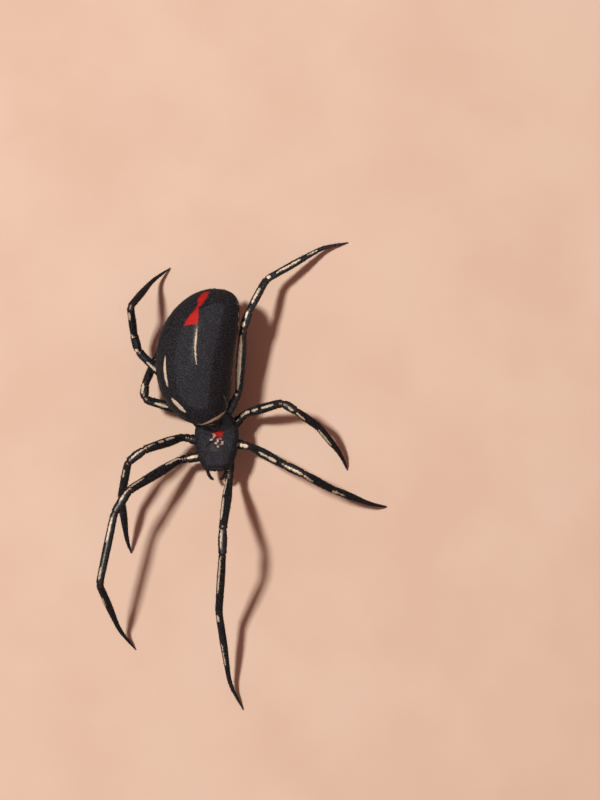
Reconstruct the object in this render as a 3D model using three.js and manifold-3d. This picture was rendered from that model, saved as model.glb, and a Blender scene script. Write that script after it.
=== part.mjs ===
// An adult female black widow spider at life size, standing on all eight legs.
// Millimetres, +Z up. The head points to -Y, so the spider's left side is +X.
// Each piece is a loft through closed rings, and the joints of the body are thin cuts.

import * as THREE from 'three';
import { mergeVertices } from 'three/addons/utils/BufferGeometryUtils.js';
import Module from 'manifold-3d';

const wasm = await Module();
wasm.setup();

// Driving dimensions of the whole animal.
const gap = 0.14;                        // the thin cut between neighbouring pieces
const floor = 0;                         // level of the foot flats
const prosomaPlace = [-1.7714, 2.3831];  // middle of the cephalothorax from the middle of the whole

// Cephalothorax: the carapace above, the sternum below.
const carapace = {
  frontLength: 1.97, rearLength: 1.95,   // from its middle to the clypeus and to the pedicel
  halfWidth: 1.5, widestAt: 0.45,
  frontReach: 2.75, rearReach: 1.75,     // half lengths of the two ovals that give its outline
  marginHeight: 2.98, lip: 0.1,
  rearTop: 3.42, foveaTop: 3.78, headTop: 3.98, clypeusTop: 3.72,
};
const sternum = { front: -1.42, rear: 1.5, halfWidth: 0.66, bottom: 1.98 };
const eyes = [                           // right and left of each pair: side, y, radius, sink
  { side: 0.13, y: -1.955, radius: 0.09, sink: 0.24 },
  { side: 0.37, y: -1.93, radius: 0.085, sink: 0.13 },
  { side: 0.14, y: -1.68, radius: 0.085, sink: 0.01 },
  { side: 0.45, y: -1.66, radius: 0.085, sink: 0.01 },
];

// Abdomen, in its own frame: +Y to the tail, +Z to the back, bowed a little to its left.
const abdomen = {
  place: [-1.42, 5.84, 5.0],             // from the middle of the cephalothorax
  halfLength: 4.66, halfWidth: 2.64, back: 2.85, belly: 2.35,
  roundness: 2.4, bow: 1.05, shoulder: 0.13, droop: 0.4,
  turn: -6.9, roll: -15, lift: 3,        // degrees
};
const pedicel = {
  path: [[0.02, 1.8, 3.0], [-0.12, 2.25, 2.92], [-0.42, 2.7, 2.95], [-0.7, 3.1, 3.3]],
  radius: 0.27,
};
const spinnerets = {
  at: 0.8, down: -1.55,                  // along the abdomen as a share of its half length, and in mm
  pairs: [
    { side: 0.24, along: 0.2, radius: 0.21, length: 0.75, spread: 8, pitch: -20 },
    { side: 0.2, along: -0.12, radius: 0.16, length: 0.6, spread: 14, pitch: -48 },
  ],
  base: 0.42,
};

// Mouthparts.
const chelicera = { side: 0.245, y: -1.84, top: 2.84, bottom: 1.72, radius: 0.175, fang: 0.36 };
const pedipalp = {
  path: [[0.36, -1.3, 2.2], [0.61, -1.62, 2.02], [0.61, -2.05, 2.1], [0.45, -2.42, 2.06],
    [0.19, -2.62, 1.72]],
  rootRadius: 0.13, footRadius: 0.1, tipRadius: 0.045,
};

// Legs, front to back. Lengths of coxa with trochanter, femur, patella, tibia, metatarsus, tarsus.
const legPairs = [
  { root: [0.85, -0.95], lengths: [1.7, 5.7, 1.8, 5.0, 5.9, 2.3], girth: 1 },
  { root: [0.83, -0.05], lengths: [1.5, 4.2, 1.4, 3.2, 3.9, 1.6], girth: 1 },
  { root: [0.9, 0.84], lengths: [1.5, 3.4, 1.1, 2.5, 3.2, 1.5], girth: 0.98 },
  { root: [0.58, 1.66], lengths: [1.9, 4.7, 1.3, 2.9, 5.0, 1.9], girth: 0.96 },
];
const coxaHeight = 2.45;

// Headings of the six segments, 0 to the spider's left and 90 to its tail, and the slopes of
// the first five. The tarsus slopes as it must for its tip to reach the floor.
const poses = {
  left: [
    { heading: [-90, -97, -91, -94, -82, -63], slope: [4, 56, -3, -38, -31] },
    { heading: [-11, -28, -25, -29, -22, -9], slope: [5, 51, 10, -48, -41] },
    { heading: [46, 16, -32, -35, -51, -68], slope: [4, 39, 1, -42, -40] },
    { heading: [61, 86, 72, 62, 30, 11], slope: [5, 24, -1, -32, -26] },
  ],
  right: [
    { heading: [-170, -149, -123, -102, -69, -52], slope: [4, 46.5, 3, -6, -54] },
    { heading: [166, 198, 217, 258, 276, 287], slope: [5, 50, 4, -40, -41] },
    { heading: [130, 164, 86, 69, 62, 56], slope: [2, 20, -22, -50, -12] },
    { heading: [139, 136, 103, 96, 52, 36], slope: [-6, 9, 22, 50, -62] },
  ],
};

// Radii along each segment: at its root, its belly and its end.
const legRadii = [
  [0.28, 0.36, 0.26],                    // coxa and trochanter
  [0.26, 0.335, 0.28],                   // femur
  [0.26, 0.31, 0.275],                   // patella
  [0.25, 0.28, 0.255],                   // tibia
  [0.245, 0.25, 0.15],                   // metatarsus
  [0.145, 0.11, 0.045],                  // tarsus
];
const footHeight = 0.03;                 // middle of the tip above the floor
const bendReaches = [0.42, 0.5, 0.42, 0.48, 0.85];    // how far each joint's rounding reaches
const legSides = 12;

// Colours and finishes.
const cuticle = new THREE.MeshStandardMaterial({ color: 0x131217, roughness: 0.28, metalness: 0 });
const legCuticle = new THREE.MeshStandardMaterial({ color: 0x1a1718, roughness: 0.3, metalness: 0 });
const brownCuticle = new THREE.MeshStandardMaterial({ color: 0x2b1c18, roughness: 0.35, metalness: 0 });

const radians = THREE.MathUtils.degToRad;
const point = (x, y, z) => new THREE.Vector3(x, y, z);
const smooth = (t) => t * t * (3 - 2 * t);

// A closed body through rings of equal count, listed from one end to the other.
function loft(rings) {
  const count = rings[0].length;
  const positions = [];
  const faces = [];
  for (const ring of rings) for (const p of ring) positions.push(p.x, p.y, p.z);
  for (let i = 0; i + 1 < rings.length; i += 1) {
    for (let j = 0; j < count; j += 1) {
      const a = i * count + j;
      const b = i * count + (j + 1) % count;
      faces.push(a, b, a + count, b, b + count, a + count);
    }
  }
  for (const [start, flip] of [[0, true], [(rings.length - 1) * count, false]]) {
    const middle = point(0, 0, 0);
    for (let j = 0; j < count; j += 1) {
      middle.add(point(...positions.slice(3 * (start + j), 3 * (start + j) + 3)));
    }
    middle.divideScalar(count);
    const centre = positions.length / 3;
    positions.push(middle.x, middle.y, middle.z);
    for (let j = 0; j < count; j += 1) {
      const a = start + j;
      const b = start + (j + 1) % count;
      faces.push(...(flip ? [a, centre, b] : [a, b, centre]));
    }
  }
  const geometry = new THREE.BufferGeometry();
  geometry.setAttribute('position', new THREE.Float32BufferAttribute(positions, 3));
  geometry.setIndex(faces);
  return geometry;
}

// A round ring at a place, square to a direction. It keeps the same starting side along a path.
function roundRing(place, along, side, radius, sides) {
  const up = along.clone().cross(side).normalize();
  const across = up.clone().cross(along).normalize();
  return Array.from({ length: sides }, (_, k) => {
    const angle = (2 * Math.PI * k) / sides;
    return place.clone()
      .addScaledVector(across, radius * Math.cos(angle))
      .addScaledVector(up, radius * Math.sin(angle));
  });
}

// A tube along a curve, through stations given as length along it and radius.
function tube(curve, stations, sides) {
  const total = curve.getLength();
  const rings = [];
  let side = null;
  for (const [at, radius] of stations) {
    const t = THREE.MathUtils.clamp(at / total, 0, 1);
    const step = 0.02 / total;
    const along = curve.getPoint(Math.min(1, t + step)).sub(curve.getPoint(Math.max(0, t - step))).normalize();
    if (side === null) side = point(0, 0, 1).cross(along).normalize();
    side.addScaledVector(along, -side.dot(along)).normalize();
    rings.push(roundRing(curve.getPoint(t), along, side, radius, sides));
  }
  return loft(rings);
}

function toSolid(geometry) {
  const bare = geometry.clone();
  bare.deleteAttribute('normal');
  bare.deleteAttribute('uv');
  const merged = mergeVertices(bare, 1e-5);
  return new wasm.Manifold(new wasm.Mesh({
    numProp: 3,
    vertProperties: new Float32Array(merged.attributes.position.array),
    triVerts: new Uint32Array(merged.index.array),
  }));
}

// Back to a geometry, keeping only the largest closed surface.
function fromSolid(solid) {
  const parts = solid.decompose();
  const largest = parts.reduce((a, b) => (a.volume() > b.volume() ? a : b));
  const mesh = largest.getMesh();
  const geometry = new THREE.BufferGeometry();
  geometry.setAttribute('position', new THREE.BufferAttribute(new Float32Array(mesh.vertProperties), 3));
  geometry.setIndex(new THREE.BufferAttribute(new Uint32Array(mesh.triVerts), 1));
  return geometry;
}

const join = (first, ...others) => others.reduce((sum, next) => sum.add(next), first);

// The cephalothorax. The two powers set how boxy its cross section is.
const sidePower = 0.9;
const domePower = 0.85;

function carapaceHalfWidth(y) {
  const reach = y < carapace.widestAt ? carapace.frontReach : carapace.rearReach;
  const share = Math.min(1, Math.abs(y - carapace.widestAt) / reach);
  return carapace.halfWidth * Math.sqrt(1 - share ** 2.2);
}

function carapaceTop(y) {
  const line = [
    [carapace.rearLength, carapace.rearTop], [0.95, 3.7], [0.35, carapace.foveaTop],
    [-0.7, carapace.headTop], [-1.5, carapace.headTop - 0.04], [-carapace.frontLength, carapace.clypeusTop],
  ];
  let i = 0;
  while (i < line.length - 2 && y < line[i + 1][0]) i += 1;
  const [[y0, z0], [y1, z1]] = [line[i], line[i + 1]];
  return THREE.MathUtils.lerp(z0, z1, smooth(THREE.MathUtils.clamp((y - y0) / (y1 - y0), 0, 1)));
}

function carapaceRing(y, grow = 0) {
  const halfWidth = carapaceHalfWidth(y) + grow;
  const rise = carapaceTop(y) - carapace.marginHeight + grow;
  const sides = 28;
  return Array.from({ length: sides }, (_, k) => {
    const angle = (2 * Math.PI * k) / sides;
    const above = Math.sin(angle) > 0;
    const x = halfWidth * Math.sign(Math.cos(angle)) * Math.abs(Math.cos(angle)) ** sidePower;
    const height = above ? rise * Math.sin(angle) ** domePower : (carapace.lip + grow) * Math.sin(angle);
    return point(x, y, carapace.marginHeight + height);
  });
}

function carapaceSolid(grow = 0) {
  const rings = [];
  const steps = 20;
  for (let i = 0; i <= steps; i += 1) {
    const y = THREE.MathUtils.lerp(carapace.rearLength, -carapace.frontLength, i / steps);
    const outward = i === 0 ? grow : i === steps ? -grow : 0;
    rings.push(carapaceRing(y, grow).map((p) => p.setY(p.y + outward)));
  }
  return toSolid(loft(rings));
}

function sternumSolid(grow = 0) {
  const rings = [];
  const steps = 10;
  const middle = (sternum.front + sternum.rear) / 2;
  const reach = (sternum.rear - sternum.front) / 2;
  for (let i = 0; i <= steps; i += 1) {
    const share = THREE.MathUtils.lerp(0.98, -0.98, i / steps);
    const width = (sternum.halfWidth + grow) * (1 - Math.abs(share) ** 2.6) ** 0.5 * (1 - 0.28 * share);
    const depth = 0.3 * (1 - share ** 4);
    rings.push([[1, 1.0], [1, 0.42 - depth], [0.55, 0.12 - depth], [-0.55, 0.12 - depth],
      [-1, 0.42 - depth], [-1, 1.0]].map(([x, z]) => (
      point(-x * width, middle + share * (reach + grow), sternum.bottom + 0.18 + z)
    )));
  }
  return toSolid(loft(rings));
}

// The carapace's upper surface at a place seen from above.
function carapaceHeight(x, y) {
  const cosine = Math.min(1, Math.abs(x) / carapaceHalfWidth(y)) ** (1 / sidePower);
  const rise = carapaceTop(y) - carapace.marginHeight;
  return carapace.marginHeight + rise * Math.sqrt(1 - cosine * cosine) ** domePower;
}

function eyeSolids() {
  return eyes.flatMap((eye) => [-1, 1].map((side) => {
    const dome = new THREE.SphereGeometry(eye.radius, 10, 7);
    dome.translate(side * eye.side, eye.y, carapaceHeight(eye.side, eye.y) - eye.sink);
    return toSolid(dome);
  }));
}

function cephalothoraxGeometry() {
  return fromSolid(join(carapaceSolid(), sternumSolid(), ...eyeSolids()));
}

// The abdomen, as rings along its bowed middle line.
function abdomenFrame() {
  const turn = new THREE.Euler(radians(abdomen.lift), radians(abdomen.roll), radians(abdomen.turn), 'ZXY');
  return new THREE.Matrix4().makeRotationFromEuler(turn).setPosition(...abdomen.place);
}

function abdomenPoint(share, angle, grow = 0) {
  const n = abdomen.roundness;
  const fall = (1 - Math.min(1, Math.abs(share)) ** n) ** (1 / n);
  const width = abdomen.halfWidth * fall + grow;
  const back = abdomen.back * (1 - abdomen.shoulder * share);
  const height = (Math.sin(angle) > 0 ? back : abdomen.belly) * fall + grow;
  const x = width * Math.cos(angle) + abdomen.bow * share * share;
  const z = height * Math.sin(angle) - abdomen.droop * Math.max(0, share) ** 2;
  return point(x, share * (abdomen.halfLength + grow), z);
}

function abdomenGeometry(grow = 0) {
  const around = 36;
  const along = 30;
  const frame = abdomenFrame();
  const rings = [];
  for (let i = 0; i <= along; i += 1) {
    const share = 0.9985 * Math.sin(THREE.MathUtils.lerp(Math.PI / 2, -Math.PI / 2, i / along));
    rings.push(Array.from({ length: around }, (_, k) => (
      abdomenPoint(share, (2 * Math.PI * k) / around, grow).applyMatrix4(frame)
    )));
  }
  return loft(rings);
}

const abdomenRoom = toSolid(abdomenGeometry(gap));

function pedicelGeometry() {
  const curve = new THREE.CatmullRomCurve3(pedicel.path.map((p) => point(...p)));
  const length = curve.getLength();
  const stations = Array.from({ length: 9 }, (_, i) => [(length * i) / 8, pedicel.radius]);
  const body = toSolid(tube(curve, stations, 14));
  return fromSolid(body.subtract(abdomenRoom).subtract(carapaceSolid(gap)).subtract(sternumSolid(gap)));
}

// A rounded cone from a root, pointing along a heading and a slope.
function coneSolid(root, heading, slope, radius, length) {
  const along = point(
    Math.cos(radians(heading)) * Math.cos(radians(slope)),
    Math.sin(radians(heading)) * Math.cos(radians(slope)),
    Math.sin(radians(slope)),
  );
  const curve = new THREE.LineCurve3(root, root.clone().addScaledVector(along, length));
  const stations = [[0, radius], [0.55, 0.95], [0.85, 0.7], [0.97, 0.42], [1, 0.2]]
    .map(([at, share], i) => [at * length, i === 0 ? radius : radius * share]);
  return toSolid(tube(curve, stations, 10));
}

function spinneretsGeometry() {
  const frame = abdomenFrame();
  const root = (side, along) => {
    const y = spinnerets.at * abdomen.halfLength + along;
    return point(side + abdomen.bow * spinnerets.at ** 2, y, spinnerets.down).applyMatrix4(frame);
  };
  const base = new THREE.SphereGeometry(spinnerets.base, 16, 10);
  const heart = root(0, 0);
  base.translate(heart.x, heart.y, heart.z);
  const tailward = 90 + abdomen.turn;
  const cones = spinnerets.pairs.flatMap((pair) => [-1, 1].map((side) => (
    coneSolid(root(side * pair.side, pair.along), tailward - side * pair.spread, pair.pitch, pair.radius, pair.length)
  )));
  return fromSolid(join(toSolid(base), ...cones).subtract(abdomenRoom));
}

function cheliceraGeometry(side) {
  const x = side * chelicera.side;
  const drop = chelicera.top - chelicera.bottom;
  const curve = new THREE.CatmullRomCurve3([
    point(x, chelicera.y + 0.06, chelicera.top), point(x, chelicera.y, chelicera.top - 0.4 * drop),
    point(x, chelicera.y + 0.04, chelicera.bottom),
  ]);
  const length = curve.getLength();
  const stations = [[0, 0.9], [0.2, 1], [0.55, 0.95], [0.85, 0.76], [1, 0.48]]
    .map(([at, share]) => [at * length, share * chelicera.radius]);
  const fangCurve = new THREE.CatmullRomCurve3([
    point(x, chelicera.y + 0.04, chelicera.bottom + 0.1),
    point(x - side * 0.02, chelicera.y + 0.12, chelicera.bottom - 0.1),
    point(x - side * 0.08, chelicera.y + chelicera.fang, chelicera.bottom - 0.06),
  ]);
  const fangStations = [[0, 0.07], [0.5, 0.055], [1, 0.02]]
    .map(([at, radius]) => [at * fangCurve.getLength(), radius]);
  return fromSolid(join(toSolid(tube(curve, stations, 12)), toSolid(tube(fangCurve, fangStations, 8))));
}

function pedipalpGeometry(side) {
  const curve = new THREE.CatmullRomCurve3(pedipalp.path.map(([x, y, z]) => point(side * x, y, z)));
  const length = curve.getLength();
  const steps = 16;
  const stations = Array.from({ length: steps + 1 }, (_, i) => {
    const share = i / steps;
    const body = THREE.MathUtils.lerp(pedipalp.rootRadius, pedipalp.footRadius, share);
    const tip = THREE.MathUtils.lerp(1, pedipalp.tipRadius / pedipalp.footRadius, Math.max(0, share - 0.8) / 0.2);
    return [share * length, body * tip];
  });
  return fromSolid(toSolid(tube(curve, stations, 10)).subtract(sternumSolid(gap)));
}

// The joints of one leg, from its root under the carapace to its tip on the floor.
function legJoints(pair, pose, side) {
  const joints = [point(side * pair.root[0], pair.root[1], coxaHeight)];
  pair.lengths.forEach((length, i) => {
    const from = joints[i];
    const drop = (footHeight - from.z) / length;
    const slope = i < pose.slope.length ? radians(pose.slope[i]) : Math.asin(drop);
    const heading = radians(pose.heading[i]);
    joints.push(from.clone().add(point(
      length * Math.cos(slope) * Math.cos(heading),
      length * Math.cos(slope) * Math.sin(heading),
      length * Math.sin(slope),
    )));
  });
  return joints;
}

// Straight segments with the joints rounded.
function legCurve(joints) {
  const curve = new THREE.CurvePath();
  let from = joints[0];
  for (let i = 1; i < joints.length - 1; i += 1) {
    const before = joints[i].clone().sub(joints[i - 1]).setLength(bendReaches[i - 1]);
    const after = joints[i + 1].clone().sub(joints[i]).setLength(bendReaches[i - 1]);
    const enter = joints[i].clone().sub(before);
    const leave = joints[i].clone().add(after);
    curve.add(new THREE.LineCurve3(from, enter));
    curve.add(new THREE.QuadraticBezierCurve3(enter, joints[i], leave));
    from = leave;
  }
  curve.add(new THREE.LineCurve3(from, joints[joints.length - 1]));
  return curve;
}

// Where each segment of the leg starts and ends, as lengths along its curve.
function segmentEnds(curve) {
  const lengths = curve.curves.map((piece) => piece.getLength());
  const ends = [0];
  let run = 0;
  lengths.forEach((length, i) => {
    if (i % 2 === 1) ends.push(run + length / 2);
    run += length;
  });
  ends.push(run);
  return ends;
}

function segmentRadius(segment, share, girth) {
  const [root, belly, end] = legRadii[segment];
  const fat = share < 0.4
    ? THREE.MathUtils.lerp(root, belly, smooth(share / 0.4))
    : THREE.MathUtils.lerp(belly, end, smooth((share - 0.4) / 0.6));
  return girth * fat;
}

// One node of a leg, over the segments from first to last.
function legPiece(curve, ends, first, last, girth) {
  const stations = [];
  for (let segment = first; segment <= last; segment += 1) {
    const begin = ends[segment] + (segment === first && segment > 0 ? gap / 2 : 0);
    const finish = ends[segment + 1] - (segment === last && last < legRadii.length - 1 ? gap / 2 : 0);
    const steps = Math.max(5, Math.round((finish - begin) / 0.8));
    for (let i = segment === first ? 0 : 1; i <= steps; i += 1) {
      const share = i / steps;
      stations.push([THREE.MathUtils.lerp(begin, finish, share), segmentRadius(segment, share, girth)]);
    }
  }
  const geometry = tube(curve, stations, legSides);
  const positions = geometry.attributes.position;
  for (let i = 0; i < positions.count; i += 1) positions.setZ(i, Math.max(floor, positions.getZ(i)));
  return geometry;
}

const group = new THREE.Group();
group.position.set(...prosomaPlace, 0);

function addNode(name, geometry, material) {
  const mesh = new THREE.Mesh(geometry, material);
  mesh.name = name;
  group.add(mesh);
}

addNode('cephalothorax', cephalothoraxGeometry(), cuticle);
addNode('abdomen', abdomenGeometry(), cuticle);
addNode('pedicel', pedicelGeometry(), brownCuticle);
addNode('spinnerets', spinneretsGeometry(), brownCuticle);

const legNodes = [['femur', 0, 1], ['tibia', 2, 3], ['foot', 4, 5]];
for (const [sideName, side] of [['left', 1], ['right', -1]]) {
  addNode(`chelicera_${sideName}`, cheliceraGeometry(side), brownCuticle);
  addNode(`pedipalp_${sideName}`, pedipalpGeometry(side), legCuticle);
  legPairs.forEach((pair, i) => {
    const curve = legCurve(legJoints(pair, poses[sideName][i], side));
    const ends = segmentEnds(curve);
    for (const [piece, first, last] of legNodes) {
      addNode(`leg_${i + 1}_${sideName}_${piece}`, legPiece(curve, ends, first, last, pair.girth), legCuticle);
    }
  });
}

export default group;
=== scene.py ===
# Dresses an adult female black widow spider at life size, seen from straight above.
# Sizes are in millimetres until a mesh is made. The head points to -Y, so its left side is +X.
import math

import bpy
import numpy as np
from mathutils import Euler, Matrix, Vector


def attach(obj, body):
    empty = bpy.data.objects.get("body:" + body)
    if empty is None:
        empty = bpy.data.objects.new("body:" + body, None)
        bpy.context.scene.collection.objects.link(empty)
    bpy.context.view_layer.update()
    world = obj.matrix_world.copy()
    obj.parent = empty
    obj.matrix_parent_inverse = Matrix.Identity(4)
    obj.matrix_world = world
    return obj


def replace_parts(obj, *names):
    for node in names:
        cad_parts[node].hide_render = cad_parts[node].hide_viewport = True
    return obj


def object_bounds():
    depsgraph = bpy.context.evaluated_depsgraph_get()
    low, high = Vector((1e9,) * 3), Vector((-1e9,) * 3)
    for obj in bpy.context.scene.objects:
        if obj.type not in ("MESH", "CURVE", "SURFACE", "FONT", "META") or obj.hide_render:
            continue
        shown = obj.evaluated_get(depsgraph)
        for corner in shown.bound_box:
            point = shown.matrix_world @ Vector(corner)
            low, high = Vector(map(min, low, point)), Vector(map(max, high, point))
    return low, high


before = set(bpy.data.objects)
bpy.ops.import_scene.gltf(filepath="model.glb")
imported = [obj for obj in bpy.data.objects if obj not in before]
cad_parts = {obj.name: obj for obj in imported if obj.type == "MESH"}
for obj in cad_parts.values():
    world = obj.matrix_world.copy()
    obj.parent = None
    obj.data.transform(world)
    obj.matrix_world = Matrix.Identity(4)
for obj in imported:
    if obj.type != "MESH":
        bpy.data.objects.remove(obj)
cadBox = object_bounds()
scene = bpy.context.scene
metresPerMm = 0.001
lowCorner, highCorner = (np.array(corner) / metresPerMm for corner in cadBox)
prosomaPlace = np.array([-1.7714, 2.3831, 0.0])    # middle of the cephalothorax in the whole animal

# Camera. The picture is 600 by 800 and its long side spans the lens's sensor.
view = {
    "place": [3.8906, 5.2071, 500.0],
    "mmPerPixel": 0.0684,                      # at the floor
    "pixelsHigh": 800,
    "sensor": 36.0,
}
camera = bpy.data.objects.new("camera", bpy.data.cameras.new("camera"))
camera.data.sensor_width = view["sensor"]
camera.data.lens = view["sensor"] * view["place"][2] / (view["mmPerPixel"] * view["pixelsHigh"])
camera.data.clip_start, camera.data.clip_end = 0.01, 20
camera.location = [part * metresPerMm for part in view["place"]]
scene.collection.objects.link(camera)
scene.camera = camera
scene.view_settings.view_transform = "Standard"
print("camera set")


def linear(colour):
    channels = [int(colour[i:i + 2], 16) / 255 for i in (1, 3, 5)]
    return [c / 12.92 if c <= 0.04045 else ((c + 0.055) / 1.055) ** 2.4 for c in channels] + [1.0]


def add(tree, kind, settings=None, inputs=None):
    node = tree.nodes.new(kind)
    for name, value in (settings or {}).items():
        setattr(node, name, value)
    for name, value in (inputs or {}).items():
        if isinstance(value, bpy.types.NodeSocket):
            tree.links.new(value, node.inputs[name])
        else:
            node.inputs[name].default_value = value
    return node


def newMaterial(name):
    material = bpy.data.materials.new(name)
    material.use_nodes = True
    material.node_tree.nodes.clear()
    return material, material.node_tree


def closeMaterial(tree, inputs):
    shader = add(tree, "ShaderNodeBsdfPrincipled", inputs=inputs)
    add(tree, "ShaderNodeOutputMaterial", inputs={"Surface": shader.outputs["BSDF"]})


def timesPlus(tree, value, factor, more):
    inputs = {0: value, 1: factor, 2: more}
    return add(tree, "ShaderNodeMath", {"operation": "MULTIPLY_ADD"}, inputs).outputs[0]


def perMm(size):
    return 1 / (size * metresPerMm)            # texture scale that repeats about once in a size in mm


def mix(tree, share, first, second):
    node = add(tree, "ShaderNodeMix", {"data_type": "RGBA"}, {0: share, 6: first, 7: second})
    return node.outputs[2]


def edge(tree, value, low, high, bottom=0.0, top=1.0):
    node = add(tree, "ShaderNodeMapRange", {"interpolation_type": "SMOOTHSTEP"},
               {"Value": value, "From Min": low, "From Max": high, "To Min": bottom, "To Max": top})
    return node.outputs["Result"]


# Arthropod cuticle, hardened and waxed on the outside: near black, finely stippled, with a clear gloss
# over small pits and low waves.
def cuticleMaterial(name, look):
    material, tree = newMaterial(name)
    place = add(tree, "ShaderNodeTexCoord").outputs["Object"]
    grain, cloud, wave = (
        add(tree, "ShaderNodeTexNoise", inputs={
            "Vector": place, "Scale": perMm(look[kind]), "Detail": detail, "Roughness": rough}).outputs["Fac"]
        for kind, detail, rough in (("grain", 3.0, 0.6), ("cloud", 2.0, 0.5), ("wave", 1.0, 0.5)))
    speckle = edge(tree, grain, 0.42, 0.72)
    colour = mix(tree, speckle, linear(look["dark"]), linear(look["light"]))
    for mark in look["marks"]:
        field = add(tree, "ShaderNodeAttribute", {"attribute_name": mark["field"]}).outputs["Fac"]
        frayed = timesPlus(tree, edge(tree, grain, 0.3, 0.7, -0.5, 0.5), mark["fray"], field)
        shade = mix(tree, speckle, linear(mark["tints"][0]), linear(mark["tints"][1]))
        colour = mix(tree, edge(tree, frayed, *mark["edge"]), colour, shade)
    pits = add(tree, "ShaderNodeTexVoronoi", inputs={"Vector": place, "Scale": perMm(look["pits"])})
    relief = timesPlus(tree, pits.outputs["Distance"], 0.6, grain)
    relief = timesPlus(tree, wave, look["waveShare"], relief)
    bump = add(tree, "ShaderNodeBump", inputs={
        "Strength": look["bump"], "Distance": look["depth"] * metresPerMm, "Height": relief})
    closeMaterial(tree, {
        "Base Color": colour, "IOR": look["ior"], "Normal": bump.outputs["Normal"],
        "Roughness": edge(tree, cloud, 0.3, 0.7, look["gloss"][0], look["gloss"][1])})
    return material


# Marks are painted by a field of the mesh, which is in mm from the mark's edge or a share from 0 to 1.
redPatch = {"field": "redMark", "tints": ("#bd221f", "#8c1512"), "edge": (-0.02, 0.02), "fray": 0.08}
# The cream line paints highlights, as streaks on the legs and the back and as glints on the shield; on the
# abdomen it also paints the cream band round the front.
creamHighlightAndBand = {"field": "paleLine", "tints": ("#e3d3ba", "#b3a289"), "edge": (-0.02, 0.02), "fray": 0.08}
jointBrown = {"field": "membrane", "tints": ("#3a261c", "#241712"), "edge": (0.2, 0.9), "fray": 0.5}
abdomenMaterial = cuticleMaterial("waxed_abdomen_cuticle", {
    "dark": "#17171a", "light": "#3f4047", "grain": 0.08, "cloud": 1.2, "pits": 0.16, "wave": 0.7,
    "waveShare": 1.5, "bump": 0.2, "depth": 0.008, "gloss": (0.12, 0.2), "ior": 1.5,
    "marks": [{"field": "brown", "tints": ("#3a2419", "#2a1a14"), "edge": (0.1, 0.9), "fray": 0.1},
              redPatch, creamHighlightAndBand]})
# The cream flecks on the shield are painted glints.
carapaceMaterial = cuticleMaterial("granular_carapace_cuticle", {
    "dark": "#18181b", "light": "#3d3d44", "grain": 0.09, "cloud": 0.8, "pits": 0.1, "wave": 0.5,
    "waveShare": 1.0, "bump": 0.45, "depth": 0.015, "gloss": (0.24, 0.38), "ior": 1.5,
    "marks": [{**redPatch, "tints": ("#b01c18", "#7a1210"), "edge": (-0.04, 0.05), "fray": 0.22},
              {**creamHighlightAndBand, "tints": ("#ecd0c0", "#bf9484"), "fray": 0.14}]})
# The cream streaks on the legs are painted highlights.
legMaterial = cuticleMaterial("waxed_leg_cuticle", {
    "dark": "#17171a", "light": "#38373c", "grain": 0.12, "cloud": 0.5, "pits": 0.12, "wave": 0.5,
    "waveShare": 4.0, "bump": 0.4, "depth": 0.012, "gloss": (0.16, 0.28), "ior": 1.5,
    "marks": [jointBrown, {**creamHighlightAndBand, "edge": (-0.035, 0.035), "fray": 0.09}]})
softMaterial = cuticleMaterial("soft_joint_membrane", {
    "dark": "#2a1d17", "light": "#4a3528", "grain": 0.08, "cloud": 0.3, "pits": 0.06, "wave": 0.3,
    "waveShare": 1.0, "bump": 0.6, "depth": 0.015, "gloss": (0.42, 0.55), "ior": 1.45, "marks": []})
mouthMaterial = cuticleMaterial("dark_mouthpart_cuticle", {
    "dark": "#171214", "light": "#33282a", "grain": 0.1, "cloud": 0.3, "pits": 0.1, "wave": 0.4,
    "waveShare": 1.0, "bump": 0.4, "depth": 0.01, "gloss": (0.18, 0.3), "ior": 1.52, "marks": [jointBrown]})


# Hard glassy cuticle of eyes, fangs and claws: one deep colour, with a painted sheen that lightens it where
# the surface turns edge-on to the view.
def glassyMaterial(name, core, rim, ior, roughness):
    material, tree = newMaterial(name)
    facing = add(tree, "ShaderNodeLayerWeight", inputs={"Blend": 0.35}).outputs["Facing"]
    closeMaterial(tree, {
        "Base Color": mix(tree, facing, linear(core), linear(rim)), "IOR": ior, "Roughness": roughness,
        "Coat Weight": 0.6, "Coat Roughness": 0.03})
    return material


eyeMaterial = glassyMaterial("eye_cornea", "#050406", "#1d1512", 1.52, 0.05)
fangMaterial = glassyMaterial("fang_cuticle", "#2a0c06", "#5f2412", 1.55, 0.12)
hairMaterial = glassyMaterial("spider_bristle", "#0f0c0b", "#2b211c", 1.5, 0.35)


def smoothStep(t):
    t = np.clip(t, 0, 1)
    return t * t * (3 - 2 * t)


def unit(vectors):
    return vectors / np.maximum(1e-12, np.linalg.norm(vectors, axis=-1, keepdims=True))


def bell(distance, width):
    return np.exp(-(distance / width) ** 2)


def direction(heading, slope):
    level = math.cos(slope)
    return np.array([level * math.cos(heading), level * math.sin(heading), math.sin(slope)])


# The turn of each side of a ring, and how far along a line each of its points is.
def turnsOf(sides):
    return 2 * math.pi * np.arange(sides) / sides


def runAlong(line):
    return np.concatenate([[0], np.cumsum(np.linalg.norm(np.diff(line, axis=0), axis=1))])


# A closed skin from rings of points, each ring in the same order, with a point at each end.
def ringFaces(rows, sides):
    faces, places = [], []
    for i in range(rows - 1):
        for j in range(sides):
            k = (j + 1) % sides
            faces.append((i * sides + j, i * sides + k, (i + 1) * sides + k, (i + 1) * sides + j))
            places += [(i, j), (i, j + 1), (i + 1, j + 1), (i + 1, j)]
    for end, row, step in ((rows * sides, 0, -0.5), (rows * sides + 1, rows - 1, 0.5)):
        for j in range(sides):
            pair = (row * sides + j, row * sides + (j + 1) % sides)
            faces.append((end, pair[1], pair[0]) if row == 0 else (end, pair[0], pair[1]))
            spots = [(row, j), (row, j + 1)]
            places += [(row + step, j + 0.5)] + (spots[::-1] if row == 0 else spots)
    return faces, np.array(places, float)


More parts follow.
